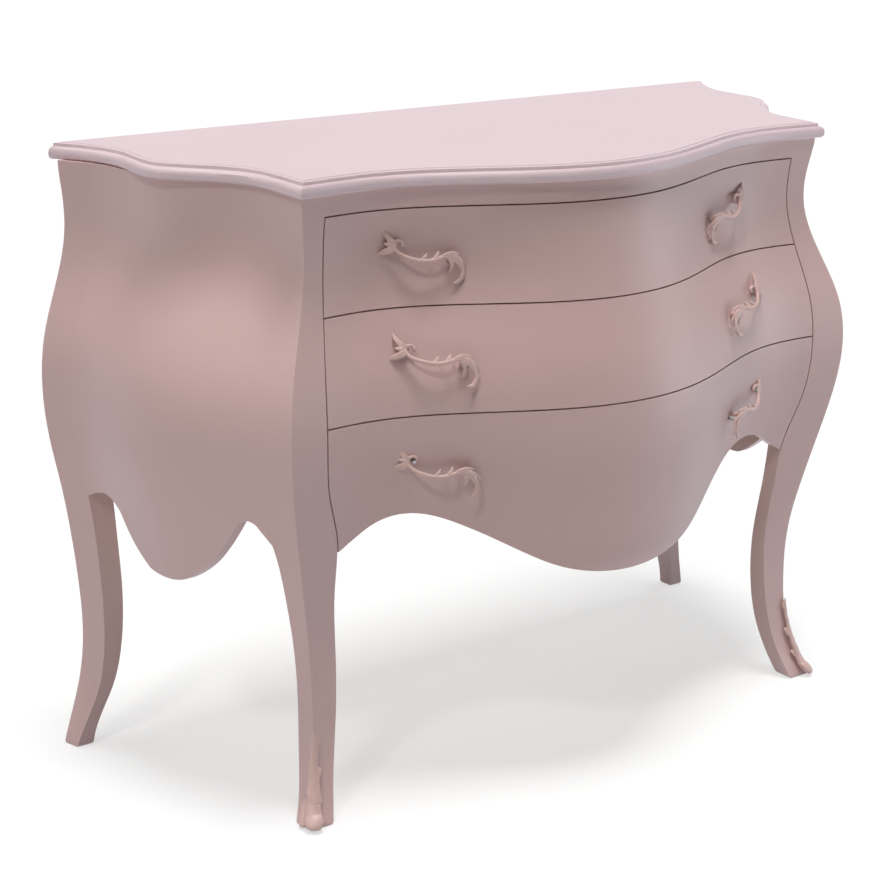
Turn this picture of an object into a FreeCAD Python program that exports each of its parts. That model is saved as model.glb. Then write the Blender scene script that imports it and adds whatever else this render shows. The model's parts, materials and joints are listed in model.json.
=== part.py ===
import FreeCAD, Part
import math
import os
import re
import Sketcher
from FreeCAD import Placement, Rotation, Vector

# Bombe chest of three drawers, in millimetres.
# +Z is up, +X is the viewer's right and the drawers open towards -Y.
# The origin is on the floor under the middle of the chest.

doc = FreeCAD.newDocument("bombe_chest")
sheet = doc.addObject("Spreadsheet::Sheet", "sizes")

driving_sizes = [
    ("overall_height", 850, "floor to the top's upper surface"),
    ("top_thickness", 22, "top board, step and bullnose together"),
    ("top_step_inset", 10, "from the bullnose back to the raised field"),
    ("top_back_half", 601, "half width of the top at its back corners"),
    ("top_front_half", 469, "half width of the top at its front corners"),
    ("top_corner_forward", 116, "front corner of the top, in front of the origin"),
    ("top_belly_forward", 200, "middle of the top's front edge"),
    ("top_back", 265, "back edge of the top, behind the origin"),
    ("top_wave", 28, "depth of the top's serpentine sides"),
    ("carcase_back", 252, "back of the carcase, behind the origin"),
    ("top_overhang", 17, "how far the top stands out beyond the front corners of the neck"),
    ("top_overhang_forward", 15, "how far the top stands forward of those corners"),
    ("top_overhang_back", 15, "how far the top stands out beyond the back corners of the neck"),
    ("corner_out_swell", 52, "how far the front corners swell out at the belly"),
    ("corner_forward_swell", 54, "how far the front corners swell forward"),
    ("neck_belly_rise", 3, "middle of the front at the neck, in front of the top's edge"),
    ("belly_forward_swell", 62, "how far the middle of the front swells forward"),
    ("back_out_swell", 36, "how far the back corners swell out at the belly"),
    ("neck_wave", 30, "depth of the serpentine side at the neck"),
    ("belly_wave", 26, "depth of the serpentine side at the belly"),
    ("leg_wave", 20, "hollow of the side behind the front legs"),
    ("post_face", 60, "width of a front post's face"),
    ("post_depth", 55, "depth of a front post"),
    ("back_post_face", 50, "width of a back post"),
    ("back_post_depth", 40, "depth of a back post"),
    ("front_thickness", 22, "drawer fronts in the middle, measured along the drawer"),
    ("front_hollow", 114, "serpentine depth of the drawer fronts' inner faces"),
    ("side_thickness", 12, "side panels, measured across the chest"),
    ("back_thickness", 8, "back panel"),
    ("rail_thickness", 18, "divider rails, back rails and bottom rail"),
    ("rail_rear", 60, "straight rear edge of the front rails, in front of the origin"),
    ("back_rail_width", 20, "depth of the rails inside the back panel"),
    ("frieze_height", 28, "front rail between the top drawer and the top board"),
    ("top_drawer_height", 127, "from the frieze down to the joint with the middle drawer"),
    ("middle_drawer_height", 134, "from that joint down to the joint with the bottom drawer"),
    ("bottom_drawer_height", 121, "from that joint down to the underside of the bottom board"),
    ("arch_drop", 10, "highest point of the apron's side arches, below the bottom board"),
    ("lobe_drop", 120, "lowest point of the apron's middle lobe, below the bottom board"),
    ("side_arch_drop", 6, "highest point of the side apron, below the bottom board"),
    ("side_lobe_drop", 128, "lowest point of the side apron, below the bottom board"),
    ("drawer_gap", 2, "gap round each drawer front"),
    ("front_clearance", 1.2, "between a closed drawer front and the rail behind it"),
    ("run_clearance", 0.5, "between a drawer's sides and its runners"),
    ("box_inset", 74, "how far the drawer boxes stay inside the top's front corners"),
    ("box_side_thickness", 12, "drawer sides"),
    ("box_back", 205, "back of the drawer boxes, behind the origin"),
    ("box_headroom", 7, "between a drawer side and the rail above it"),
    ("box_bottom_thickness", 5, "drawer bottoms"),
    ("box_groove_height", 8, "from a side's lower edge to the groove"),
    ("box_groove_depth", 5, "groove for the drawer bottom"),
    ("groove_clearance", 0.2, "play of the drawer bottom in its grooves"),
    ("guide_thickness", 20, "upright guide of a runner"),
    ("guide_rise", 22, "height of a runner's guide above its ledge"),
    ("guide_clearance", 1.5, "between a drawer side and its guide"),
    ("ledge_inside", 18, "how far a runner's ledge reaches under the drawer"),
    ("bottom_thickness", 10, "bottom board"),
    ("bottom_ledge_rise", 22, "top of the lowest runners above the bottom board's underside"),
    ("kicker_width", 30, "tilting rails above the top drawer's sides"),
    ("kicker_clearance", 3, "between the top drawer's sides and the tilting rails"),
    ("screw_radius", 2, "shank of the handle screws"),
    ("screw_clearance", 0.3, "play round a screw"),
    ("screw_head_radius", 4, "screw heads"),
    ("screw_head_height", 2.6, "screw heads"),
    ("screw_bite", 8, "how far a handle screw reaches into its boss"),
    ("screw_grip", 14, "wood under a handle screw's head"),
    ("spotface_radius", 5.5, "recess for a handle screw's head"),
    ("handle_length", 122, "handle from tip to tip"),
    ("handle_drop", 80, "handle from its upper tip to its lower curl"),
    ("handle_stand", 20, "middle of the bar off the drawer front"),
    ("handle_bar_radius", 2.8, "bar of a handle"),
    ("handle_boss_radius", 5.5, "foot of a handle's boss"),
    ("handle_leaf_thickness", 4, "cast leaves of a handle"),
    ("handle_out", 306, "eye of a handle from the middle of the drawer"),
    ("top_handle_fall", 49, "eye of the top drawer's handles, below the drawer's upper edge"),
    ("middle_handle_fall", 52, "eye of the middle drawer's handles, below the drawer's upper edge"),
    ("bottom_handle_fall", 60, "eye of the bottom drawer's handles, below the drawer's upper edge"),
    ("sabot_height", 128, "upper tip of a sabot"),
    ("sabot_half_width", 9, "widest lobe of a sabot, from the leg's corner"),
    ("sabot_thickness", 5, "how far a sabot stands off the leg's faces"),
    ("sabot_toe_radius", 10, "rolled toe of a sabot"),
    ("sabot_toe_length", 15, "rolled toe of a sabot"),
    ("sabot_toe_height", 18, "middle of the toe above the floor"),
    ("cut_overrun", 40, "how far cutting bodies run past what they cut"),
]

for row, (alias, value, meaning) in enumerate(driving_sizes, start=1):
    sheet.set("A%d" % row, meaning)
    sheet.set("B%d" % row, str(value))
    sheet.setAlias("B%d" % row, alias)
doc.recompute()


def size(alias):
    return float(sheet.get(alias))


def bind(feature, target, formula):
    """Ties a property to a formula whose words are all sizes on the sheet."""
    feature.setExpression(target, re.sub("[a-z][a-z_]+", lambda word: "sizes." + word.group(), formula))


def measure(formula):
    """Value of a formula of sums, differences and products of sizes."""
    total = 0
    sign = 1
    term = 1
    for word in formula.split():
        if word in "+-":
            total += sign * term
            sign = 1 if word == "+" else -1
            term = 1
        elif word != "*":
            term *= float(word) if word[0].isdigit() else size(word)
    return total + sign * term


carcase_height = size("overall_height") - size("top_thickness")

# Heights of the carcase's joints, stacked down from the top board.
top_underside = "overall_height - top_thickness"
frieze_underside = top_underside + " - frieze_height"
upper_seam = frieze_underside + " - top_drawer_height"
lower_seam = upper_seam + " - middle_drawer_height"
base_height = lower_seam + " - bottom_drawer_height"

# The drawer boxes pass between the front posts.
box_half_width = "top_front_half - box_inset"

# The neck, just under the top board.
neck_front_half = measure("top_front_half - top_overhang")
neck_corner_forward = measure("top_corner_forward - top_overhang_forward")
neck_belly_forward = measure("top_belly_forward + neck_belly_rise")
neck_back_half = measure("top_back_half - top_overhang_back")

# The levels of the carcase from the floor up, each as shares: its height; how far the front
# corner stands out and forward, the middle of the front stands forward and the back corner
# stands out; the face and depth of the front post and of the back post; and how much of the
# neck's, the belly's and the legs' serpentine the side follows there.
level_shares = [
    (0.000, 0.42, 1.28, -0.21, 0.24, 0.62, 0.58, 0.64, 0.60, 0.00, 0.00, 1.00),
    (0.048, 0.09, 0.93, -0.37, -0.05, 0.55, 0.55, 0.58, 0.74, 0.00, 0.00, 1.00),
    (0.109, -0.09, 0.66, -0.45, -0.42, 0.58, 0.57, 0.67, 0.94, 0.00, 0.00, 1.00),
    (0.181, -0.14, 0.52, -0.45, -0.61, 0.66, 0.57, 0.77, 1.00, 0.00, 0.00, 1.00),
    (0.278, -0.05, 0.45, 0.05, -0.47, 0.75, 0.53, 0.90, 1.00, 0.00, 0.25, 0.75),
    (0.374, 0.24, 0.58, 0.84, -0.14, 0.90, 0.55, 0.98, 1.00, 0.00, 0.65, 0.35),
    (0.459, 0.56, 0.76, 0.95, 0.25, 1.10, 0.68, 1.08, 1.00, 0.00, 0.90, 0.10),
    (0.543, 0.85, 0.93, 1.00, 0.72, 0.98, 1.00, 1.10, 1.00, 0.00, 1.00, 0.00),
    (0.628, 1.00, 1.00, 0.95, 1.00, 0.98, 1.00, 1.10, 1.00, 0.04, 0.96, 0.00),
    (0.713, 0.87, 0.82, 0.71, 0.92, 0.90, 1.00, 1.00, 1.00, 0.16, 0.84, 0.00),
    (0.797, 0.39, 0.37, 0.31, 0.42, 0.68, 1.00, 0.95, 1.00, 0.40, 0.60, 0.00),
    (0.888, 0.00, 0.00, 0.00, 0.00, 0.52, 1.00, 0.90, 1.00, 0.70, 0.30, 0.00),
    (0.954, 0.07, 0.02, -0.18, 0.11, 0.58, 1.00, 0.90, 1.00, 0.88, 0.12, 0.00),
    (1.000, 0.17, 0.09, -0.26, 0.25, 0.67, 1.00, 0.90, 1.00, 1.00, 0.00, 0.00),
]

# Half of the serpentine front, from the middle to the corner: share of the half width, then
# share of the way back from the belly to the corner.
front_plan_shares = [(0, 0), (0.2, 0.14), (0.4, 0.52), (0.6, 0.93), (0.8, 1.08), (0.9, 1.05), (1, 1)]

# The serpentine sides, from the front corner to the back corner: share of the depth, then
# how far the side stands out of the straight line, as a share of that side's wave.
side_plan_shares = [0, 0.13, 0.27, 0.4, 0.51, 0.62, 0.76, 0.87, 1]
top_wave_shares = [0, -0.6, -1, -0.36, 0.55, 0.3, -0.5, -0.6, 0]
neck_wave_shares = [0, -0.58, -0.95, -0.53, 0.12, 0.12, -0.28, -0.38, 0]
belly_wave_shares = [0, 0.25, 0.62, 0.93, 1, 0.72, 0.12, -0.24, 0]
leg_wave_shares = [0, -0.6, -0.8, -0.6, -0.3, -0.1, 0.05, 0.1, 0]

# Edge of the top board, from its underside: share of the step's inset, then share of the
# thickness: a bullnose, a fillet and the small ovolo of the raised field.
moulding_shares = [(0.38, 0), (0.06, 0.13), (0, 0.36), (0.08, 0.58), (0.4, 0.72), (0.7, 0.74),
                   (0.76, 0.93), (1, 1)]

# The front apron, from the middle lobe to the drawer's lower corner: share of the half width
# there, then share of the rise from the lobe to the arch.
apron_shares = [(0, 0), (0.15, 0.045), (0.3, 0.205), (0.44, 0.485), (0.59, 0.785), (0.68, 0.92),
                (0.76, 0.965), (0.85, 0.905), (0.93, 0.74), (1, 0.59)]

# The side apron, from behind the front post to the back post: share of the carcase's depth
# at the neck, then share of the rise from the lobe to the arch.
side_apron_shares = [(-0.06, 0.55), (0.0, 0.8), (0.035, 0.965), (0.07, 1), (0.11, 0.93), (0.16, 0.74),
                     (0.23, 0.5), (0.31, 0.27), (0.39, 0.1), (0.495, 0), (0.59, 0.06), (0.64, 0.27),
                     (0.685, 0.55), (0.725, 0.735), (0.78, 0.8), (0.86, 0.74), (0.93, 0.6)]


def add_shape(name, shape):
    feature = doc.addObject("Part::Feature", name)
    feature.Shape = shape
    return feature


def add_boolean(kind, name, base, tool):
    result = doc.addObject("Part::" + kind, name)
    result.Base = base
    result.Tool = tool
    return result


def add_box(name, corner, extent):
    """A board, from the formulas of its lowest corner and of its three sides."""
    board = doc.addObject("Part::Box", name)
    for axis, formula in zip("xyz", corner):
        bind(board, "Placement.Base." + axis, formula)
    for side, formula in zip(("Length", "Width", "Height"), extent):
        bind(board, side, formula)
    return board


def add_mirror(name, source):
    mirror = doc.addObject("Part::Mirroring", name)
    mirror.Source = source
    mirror.Normal = Vector(1, 0, 0)
    return mirror


def add_profile(body, name, corners, offset):
    """A closed sketch in the body's XZ plane, moved back along Y, from its corners' formulas."""
    profile = body.newObject("Sketcher::SketchObject", name)
    plane = next(item for item in body.Origin.OriginFeatures if item.Role == "XZ_Plane")
    profile.AttachmentSupport = [(plane, "")]
    profile.MapMode = "FlatFace"
    bind(profile, "AttachmentOffset.Base.z", "0 - (%s)" % offset)
    places = [Vector(measure(across), measure(up), 0) for across, up in corners]
    for start, end in zip(places, places[1:] + places[:1]):
        profile.addGeometry(Part.LineSegment(start, end))
    for number, (across, up) in enumerate(corners):
        following = (number + 1) % len(corners)
        profile.addConstraint(Sketcher.Constraint("Coincident", number, 2, following, 1))
        for kind, formula in (("DistanceX", across), ("DistanceY", up)):
            rule = Sketcher.Constraint(kind, -1, 1, number, 1, measure(formula))
            bind(profile, "Constraints[%d]" % profile.addConstraint(rule), formula)
    return profile


def add_pad(body, name, profile, length):
    """Thickens a profile forwards, towards -Y."""
    pad = body.newObject("PartDesign::Pad", name)
    pad.Profile = profile
    bind(pad, "Length", length)
    return pad


def spline_edge(points, parameters=None):
    curve = Part.BSplineCurve()
    if parameters:
        curve.interpolate(Points=points, Parameters=parameters)
    else:
        curve.interpolate(Points=points)
    return curve.toShape()


def polyline(points):
    return Part.makePolygon(points).Edges


def carry(edges, reach):
    """Solid that carries a closed outline straight along a vector."""
    outline = Part.Wire(edges)
    far_outline = outline.copy()
    far_outline.translate(reach)
    return Part.makeLoft([outline, far_outline], True, True)


# Plan of the carcase

def plan_wire(height, front_half, corner_forward, belly_forward, back_half, back, side_stations):
    """Closed outline at one height: straight back, serpentine sides and front."""
    depth = back + corner_forward
    left = []
    for share, offset in side_stations:
        out = front_half + (back_half - front_half) * share + offset
        left.append(Vector(-out, depth * share - corner_forward, height))
    right = [Vector(-point.x, point.y, point.z) for point in left]
    front = []
    for share, back_share in front_plan_shares:
        forward = belly_forward + (corner_forward - belly_forward) * back_share
        front.append(Vector(front_half * share, -forward, height))
    across = [Vector(-point.x, point.y, point.z) for point in reversed(front[1:])] + front
    across_parameters = [-share for share, _ in reversed(front_plan_shares[1:])]
    across_parameters += [share for share, _ in front_plan_shares]
    along = [share for share, _ in side_stations]
    back_down = [along[-1] - share for share in reversed(along)]
    return Part.Wire([
        spline_edge(list(reversed(left)), back_down),
        spline_edge(across, across_parameters),
        spline_edge(right, along),
        Part.makeLine(right[-1], left[-1]),
    ])


def level_places(shares):
    """Real places of one level's corners and posts."""
    (height, corner_out, corner_forward, belly_forward, back_out, post_face, post_depth,
     back_face, back_depth, _, _, _) = shares
    front_half = neck_front_half + size("corner_out_swell") * corner_out
    forward = neck_corner_forward + size("corner_forward_swell") * corner_forward
    back_half = neck_back_half + size("back_out_swell") * back_out
    return {
        "height": carcase_height * height,
        "front_half": front_half,
        "corner_forward": forward,
        "belly_forward": neck_belly_forward + size("belly_forward_swell") * belly_forward,
        "back_half": back_half,
        "post_inside": front_half - size("post_face") * post_face,
        "post_rear": size("post_depth") * post_depth - forward,
        "back_post_inside": back_half - size("back_post_face") * back_face,
        "back_post_front": size("carcase_back") - size("back_post_depth") * back_depth,
    }


def level_offsets(shares):
    """How far the side stands out of the straight line at one level."""
    neck, belly, leg = shares[-3:]
    waves = zip(neck_wave_shares, belly_wave_shares, leg_wave_shares)
    return [neck * size("neck_wave") * at_neck + belly * size("belly_wave") * at_belly
            + leg * size("leg_wave") * at_leg for at_neck, at_belly, at_leg in waves]


levels = [level_places(shares) for shares in level_shares]
tail_share = 1.1


def add_form(name, grown):
    """The bombe form, lofted through the levels; it runs on behind the carcase's back."""
    sections = []
    for number, (shares, places) in enumerate(zip(level_shares, levels)):
        stations = list(zip(side_plan_shares, level_offsets(shares))) + [(tail_share, 0)]
        wire = plan_wire(places["height"], places["front_half"] + grown,
                         places["corner_forward"] + grown, places["belly_forward"] + grown,
                         places["back_half"] + grown, size("carcase_back"), stations)
        sections.append(add_shape("%s_level_%d" % (name, number), wire))
    form = doc.addObject("Part::Loft", name)
    form.Sections = sections
    form.Solid = True
    form.Ruled = False
    return form


outer_form = add_form("outer_form", 0)
doc.recompute()

# Cutting bodies

overrun = size("cut_overrun")
far_out = max(size("top_back_half"), neck_back_half + size("back_out_swell")) + overrun
far_forward = neck_belly_forward + size("belly_forward_swell") + overrun
far_back = size("carcase_back") + overrun

# Inner faces are plain: they follow the form in straight bands between some of its levels.
band_levels = (0, 3, 5, 7, 9, 11, 13)
inner_stations = (0, 2, 4, 6, 8)


def banded_solid(name, outlines):
    bands = doc.addObject("Part::Loft", name)
    bands.Sections = [add_shape("%s_band_%d" % (name, number), Part.Wire(edges))
                      for number, edges in enumerate(outlines)]
    bands.Solid = True
    bands.Ruled = True
    return bands


def behind_front(name, inset):
    """All the space behind the drawer fronts' inner faces."""
    half = neck_front_half + size("corner_out_swell")
    outlines = []
    for number in band_levels:
        level = levels[number]
        right = [Vector(half * share, inset + size("front_hollow") * back_share - level["belly_forward"],
                        level["height"]) for share, back_share in front_plan_shares]
        right.append(Vector(far_out, right[-1].y, level["height"]))
        left = [Vector(-point.x, point.y, point.z) for point in reversed(right[1:])]
        rear_right = Vector(far_out, far_back, level["height"])
        rear_left = Vector(-far_out, far_back, level["height"])
        outlines.append(polyline(left + right + [rear_right, rear_left, left[0]]))
    return banded_solid(name, outlines)


def between_sides(name):
    """All the space between the side panels' inner faces."""
    outlines = []
    for number in band_levels:
        level = levels[number]
        depth = size("carcase_back") + level["corner_forward"]
        offsets = level_offsets(level_shares[number])
        left = []
        for station in inner_stations:
            share = side_plan_shares[station]
            out = level["front_half"] + (level["back_half"] - level["front_half"]) * share
            out += offsets[station] - size("side_thickness")
            left.append(Vector(-out, depth * share - level["corner_forward"], level["height"]))
        left.insert(0, Vector(left[0].x, -far_forward, level["height"]))
        left.append(Vector(left[-1].x, far_back, level["height"]))
        right = [Vector(-point.x, point.y, point.z) for point in reversed(left)]
        outlines.append(polyline(left + right + left[:1]))
    return banded_solid(name, outlines)


fronts_inside = behind_front("fronts_inside", size("front_thickness"))
rails_inside = behind_front("rails_inside", size("front_thickness") + size("front_clearance"))
sides_inside = between_sides("sides_inside")


def across_prism(name, key, gap):
    """Space between the posts, run through from front to back."""
    right = [Vector(level[key] - gap, -far_forward, level["height"]) for level in levels]
    left = [Vector(-point.x, point.y, point.z) for point in right]
    edges = ([spline_edge(right)] + polyline([right[-1], left[-1]])
             + [spline_edge(list(reversed(left)))] + polyline([left[0], right[0]]))
    return add_shape(name, carry(edges, Vector(0, far_forward + far_back, 0)))


def side_prism(name, key, edge):
    """Left half space in front of, or behind, a curve that the levels give in side view."""
    curve = [Vector(-far_out, level[key], level["height"]) for level in levels]
    bottom = Vector(-far_out, edge, curve[0].z)
    top = Vector(-far_out, edge, curve[-1].z)
    edges = [spline_edge(curve)] + polyline([curve[-1], top, bottom, curve[0]])
    return add_shape(name, carry(edges, Vector(far_out, 0, 0)))


post_opening = across_prism("post_opening", "post_inside", 0)
drawer_space = across_prism("drawer_space", "post_inside", size("drawer_gap"))
back_opening = across_prism("back_opening", "back_post_inside", 0)
front_post_block = side_prism("front_post_block", "post_rear", -far_forward)
back_post_block = side_prism("back_post_block", "back_post_front", size("carcase_back"))

# Posts, each with its leg in one piece

front_post_stock = add_boolean("Common", "front_post_stock", outer_form, front_post_block)
back_post_stock = add_boolean("Common", "back_post_stock", outer_form, back_post_block)
leg_front_left = add_boolean("Cut", "leg_front_left", front_post_stock, post_opening)
leg_back_left = add_boolean("Cut", "leg_back_left", back_post_stock, back_opening)

# Side panels with their scalloped lower edge

side_depth = size("carcase_back") + neck_corner_forward
side_lobe_height = measure(base_height + " - side_lobe_drop")
side_rise = measure("side_lobe_drop - side_arch_drop")
side_apron = [Vector(-far_out, side_depth * along - neck_corner_forward,
                     side_lobe_height + side_rise * rise)
              for along, rise in side_apron_shares]
side_scallops = [Part.Arc(*side_apron[first:first + 3]).toShape()
                 for first in range(0, len(side_apron) - 1, 2)]
side_edges = side_scallops + polyline([
    side_apron[-1],
    Vector(-far_out, side_apron[-1].y, carcase_height),
    Vector(-far_out, side_apron[0].y, carcase_height),
    side_apron[0],
])
side_space = add_shape("side_space", Part.Face(Part.Wire(side_edges)).extrude(Vector(far_out, 0, 0)))
side_stock = add_boolean("Common", "side_stock", outer_form, side_space)
side_blank = add_boolean("Cut", "side_blank", side_stock, sides_inside)
side_behind_post = add_boolean("Cut", "side_behind_post", side_blank, front_post_block)
side_panel_left = add_boolean("Cut", "side_panel_left", side_behind_post, back_post_block)

# Front rails, shaped to the backs of the drawer fronts


def add_front_rail(name, low, thickness, form):
    """A rail between the front posts: its front follows the form, its rear is straight."""
    slab = add_box(name + "_slab",
                   ("0 - top_back_half", "0 - top_belly_forward - top_back", low),
                   ("2 * top_back_half", "top_belly_forward + top_back - rail_rear", thickness))
    curved = add_boolean("Common", name + "_curved", form, slab)
    return add_boolean("Common", name, curved, post_opening)


front_top_rail = add_front_rail("front_top_rail", frieze_underside, "frieze_height",
                                outer_form)
divider_upper = add_front_rail("divider_upper", upper_seam + " - 0.5 * rail_thickness",
                               "rail_thickness", rails_inside)
divider_lower = add_front_rail("divider_lower", lower_seam + " - 0.5 * rail_thickness",
                               "rail_thickness", rails_inside)
front_bottom_rail = add_front_rail("front_bottom_rail", base_height, "rail_thickness", rails_inside)

# Back panel and the rails inside it

back_sheet = add_box("back_sheet",
                     ("0 - top_back_half", "carcase_back - back_thickness", base_height),
                     ("2 * top_back_half", "back_thickness",
                      "frieze_height + top_drawer_height + middle_drawer_height + bottom_drawer_height"))
back_panel = add_boolean("Common", "back_panel", back_sheet, back_opening)


def add_back_rail(name, low, height):
    blank = add_box(name + "_blank",
                    ("0 - top_back_half", "carcase_back - back_thickness - back_rail_width", low),
                    ("2 * top_back_half", "back_rail_width", height))
    return add_boolean("Common", name, blank, back_opening)


back_top_rail = add_back_rail("back_top_rail", frieze_underside, "frieze_height")
back_rail_upper = add_back_rail("back_rail_upper", upper_seam + " - 0.5 * rail_thickness",
                                "rail_thickness")
back_rail_lower = add_back_rail("back_rail_lower", lower_seam + " - 0.5 * rail_thickness",
                                "rail_thickness")

# Bottom board, inside the panels and round the posts

bottom_slab = add_box("bottom_slab",
                      ("0 - top_back_half", "0 - rail_rear", base_height),
                      ("2 * top_back_half", "rail_rear + carcase_back - back_thickness",
                       "bottom_thickness"))
bottom_inside = add_boolean("Common", "bottom_inside", sides_inside, bottom_slab)
doc.recompute()
posts = add_shape("posts", Part.makeCompound([
    leg_front_left.Shape, leg_back_left.Shape,
    leg_front_left.Shape.mirror(Vector(), Vector(1, 0, 0)),
    leg_back_left.Shape.mirror(Vector(), Vector(1, 0, 0)),
]))
bottom_board = add_boolean("Cut", "bottom_board", bottom_inside, posts)

# Runners: a ledge under the drawer's side and an upright guide beside it

def add_runner(name, ledge_top, underside, rear, length):
    guide_inside = box_half_width + " + guide_clearance"
    guide_outside = guide_inside + " + guide_thickness"
    body = doc.addObject("PartDesign::Body", name)
    profile = add_profile(body, name + "_profile", [
        (box_half_width + " - ledge_inside", underside),
        (guide_outside, underside),
        (guide_outside, ledge_top + " + guide_rise"),
        (guide_inside, ledge_top + " + guide_rise"),
        (guide_inside, ledge_top),
        (box_half_width + " - ledge_inside", ledge_top),
    ], rear)
    body.Tip = add_pad(body, name + "_pad", profile, length)
    return body


inside_back = "carcase_back - back_thickness"
runner_top_right = add_runner("runner_top_right", upper_seam + " + 0.5 * rail_thickness",
                              upper_seam + " - 0.5 * rail_thickness", inside_back + " - back_rail_width",
                              inside_back + " - back_rail_width + rail_rear")
runner_middle_right = add_runner("runner_middle_right", lower_seam + " + 0.5 * rail_thickness",
                                 lower_seam + " - 0.5 * rail_thickness",
                                 inside_back + " - back_rail_width",
                                 inside_back + " - back_rail_width + rail_rear")
runner_bottom_right = add_runner("runner_bottom_right", base_height + " + bottom_ledge_rise",
                                 base_height + " + bottom_thickness", inside_back,
                                 inside_back + " + rail_rear")
runner_top_left = add_mirror("runner_top_left", runner_top_right)
runner_middle_left = add_mirror("runner_middle_left", runner_middle_right)
runner_bottom_left = add_mirror("runner_bottom_left", runner_bottom_right)

# Tilting rails that keep the top drawer level when it is pulled out

kicker_right = add_box("kicker_right",
                       (box_half_width + " - kicker_width", "0 - rail_rear", frieze_underside),
                       ("kicker_width", "rail_rear + " + inside_back + " - back_rail_width",
                        "frieze_height"))
kicker_left = add_mirror("kicker_left", kicker_right)

# Top board, lofted through the outlines of its moulded edge

top_wave_offsets = [size("top_wave") * share for share in top_wave_shares]
top_outlines = []
for number, (inset_share, height_share) in enumerate(moulding_shares):
    inset = size("top_step_inset") * inset_share
    outline = plan_wire(carcase_height + size("top_thickness") * height_share,
                        size("top_front_half") - inset, size("top_corner_forward") - inset,
                        size("top_belly_forward") - inset, size("top_back_half") - inset,
                        size("top_back"), list(zip(side_plan_shares, top_wave_offsets)))
    top_outlines.append(add_shape("top_outline_%d" % number, outline))
top_board = doc.addObject("Part::Loft", "top_board")
top_board.Sections = top_outlines
top_board.Solid = True
top_board.Ruled = True

# Screws and their holes, with few sides because they repeat

screw_sides = 8
head_sides = 6


def add_rod(name, place, radius, start, length, sides):
    """A prism along the place's Z axis."""
    rod = doc.addObject("Part::Prism", name)
    rod.Polygon = sides
    bind(rod, "Circumradius", radius)
    bind(rod, "Height", length)
    rod.Placement = place.multiply(Placement(Vector(0, 0, start), Rotation()))
    return rod


def add_screw(name, place, length):
    """A screw whose shank runs along the place's Z axis from the underside of its head."""
    shank = add_rod(name + "_shank", place, "screw_radius", 0, length, screw_sides)
    head = add_rod(name + "_head", place, "screw_head_radius", -size("screw_head_height"),
                   "screw_head_height", head_sides)
    return add_boolean("Fuse", name, shank, head)


def add_group(name, members):
    group = doc.addObject("Part::Compound", name)
    group.Links = members
    return group


def add_joined(name, members):
    joined = doc.addObject("Part::MultiFuse", name)
    joined.Shapes = members
    return joined


screw_hole = "screw_radius + screw_clearance"

# Drawers

top_front_low = upper_seam + " + 0.5 * drawer_gap"
middle_front_low = lower_seam + " + 0.5 * drawer_gap"
bottom_front_high = lower_seam + " - 0.5 * drawer_gap"


def add_plain_front(name, low, height):
    band = add_box(name + "_band", ("0 - top_back_half", "0 - top_belly_forward - top_back", low),
                   ("2 * top_back_half", "top_belly_forward + top_back", height))
    curved = add_boolean("Common", name + "_curved", outer_form, band)
    trimmed = add_boolean("Common", name + "_trimmed", curved, drawer_space)
    return add_boolean("Cut", name + "_blank", trimmed, fronts_inside)


top_front_blank = add_plain_front("top_drawer_front", top_front_low,
                                  "top_drawer_height - 1.5 * drawer_gap")
middle_front_blank = add_plain_front("middle_drawer_front", middle_front_low,
                                     "middle_drawer_height - drawer_gap")

# The bottom drawer front carries the scalloped apron

apron_half = levels[6]["post_inside"]
lobe_height = measure(base_height + " - lobe_drop")
apron_rise = measure("lobe_drop - arch_drop")
apron_right = [Vector(apron_half * across, -far_forward, lobe_height + apron_rise * rise)
               for across, rise in apron_shares]
apron_left = [Vector(-point.x, point.y, point.z) for point in reversed(apron_right[1:])]
apron_top = measure(bottom_front_high)
apron_edges = [spline_edge(apron_left + apron_right)] + polyline([
    apron_right[-1],
    Vector(far_out, -far_forward, apron_right[-1].z),
    Vector(far_out, -far_forward, apron_top),
    Vector(-far_out, -far_forward, apron_top),
    Vector(-far_out, -far_forward, apron_right[-1].z),
    apron_left[0],
])
apron_space = add_shape("apron_space", carry(apron_edges, Vector(0, far_forward, 0)))
apron_curved = add_boolean("Common", "apron_curved", outer_form, apron_space)
apron_trimmed = add_boolean("Common", "apron_trimmed", apron_curved, drawer_space)
bottom_front_blank = add_boolean("Cut", "bottom_drawer_front_blank", apron_trimmed, fronts_inside)

# Handles: cast pulls on the drawer fronts, modelled for the right side and mirrored.
# Shares of a handle's length, outward from its eye, and of its drop, upward from its eye.

outer_leaf_shares = [(0.23, 0.31), (0.16, 0.24), (0.1, 0.125), (0.04, 0.09), (-0.01, 0.01), (0.03, -0.08),
                     (0.115, -0.11), (0.2, -0.15), (0.27, -0.11), (0.22, -0.04), (0.14, 0), (0.155, 0.1),
                     (0.19, 0.19)]
inner_leaf_shares = [(-0.46, -0.125), (-0.54, -0.09), (-0.69, -0.125), (-0.65, -0.21), (-0.73, -0.34),
                     (-0.67, -0.36), (-0.7, -0.475), (-0.64, -0.59), (-0.62, -0.69), (-0.58, -0.62),
                     (-0.6, -0.5), (-0.56, -0.375), (-0.525, -0.25)]

# The bar: along, up, and half of its width as a share of the bar's radius.
bar_shares = [(-0.016, 0.06, 0.6), (0.033, 0.07, 0.75), (0.061, 0, 0.85), (0.033, -0.088, 0.95),
              (-0.041, -0.156, 1), (-0.139, -0.212, 1), (-0.246, -0.219, 0.95), (-0.36, -0.194, 0.95),
              (-0.467, -0.169, 1.1), (-0.557, -0.188, 1.4), (-0.631, -0.288, 1.5), (-0.656, -0.425, 1.3),
              (-0.623, -0.55, 1), (-0.574, -0.613, 0.65)]
boss_shares = [(0.066, 0.02), (-0.59, -0.3)]
leaf_stand_share = 0.55
boss_sunk_share = 0.4
boss_sides = 8


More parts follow.
